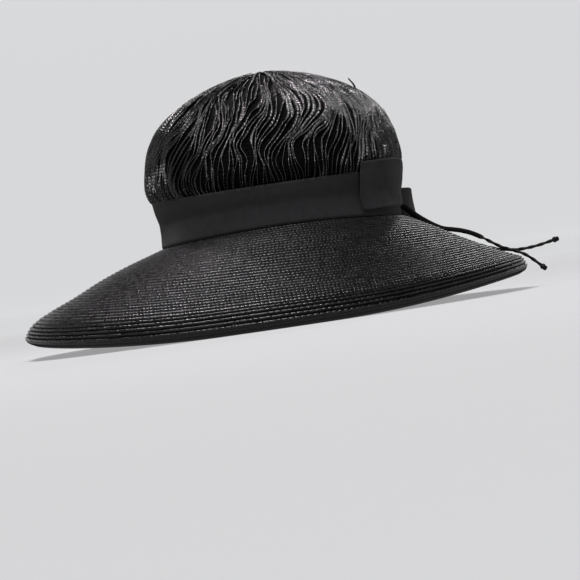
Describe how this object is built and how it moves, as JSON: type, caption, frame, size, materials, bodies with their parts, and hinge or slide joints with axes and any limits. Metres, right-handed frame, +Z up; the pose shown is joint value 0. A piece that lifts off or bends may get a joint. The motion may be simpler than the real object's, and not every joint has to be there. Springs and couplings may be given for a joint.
{
  "type": "wide-brim straw hat",
  "caption": "Black wide-brim straw hat with a gathered full crown, ribbon band, side bow and two thin tie ends.",
  "frame": {"origin": "on the surface that the hat rests on, below the middle of the brim", "axes": "+Z up through the crown, -Y towards the front of the hat, +X towards the wearer's left, where the bow is"},
  "size_m": [0.4141, 0.38, 0.1915],
  "materials": {
    "straw_braid": "sewn rows of glossy black straw braid",
    "gathered_straw": "narrow shiny black straw braids set on edge",
    "hem_netting": "open stiff black netting strip, satin",
    "ribbon": "matt black ribbon with fine cross ribs",
    "tie_cord": "thin twisted black tie, satin"
  },
  "bodies": {
    "root": {"brim": "straw_braid", "hem_strip": "hem_netting", "crown": "gathered_straw", "hat_band": "ribbon", "bow_front_loop": "ribbon", "bow_rear_loop": "ribbon", "bow_knot": "ribbon", "tie_tail_1": "tie_cord", "tie_tip_1": "tie_cord", "tie_tail_2": "tie_cord", "tie_tip_2": "tie_cord"}
  },
  "joints": []
}
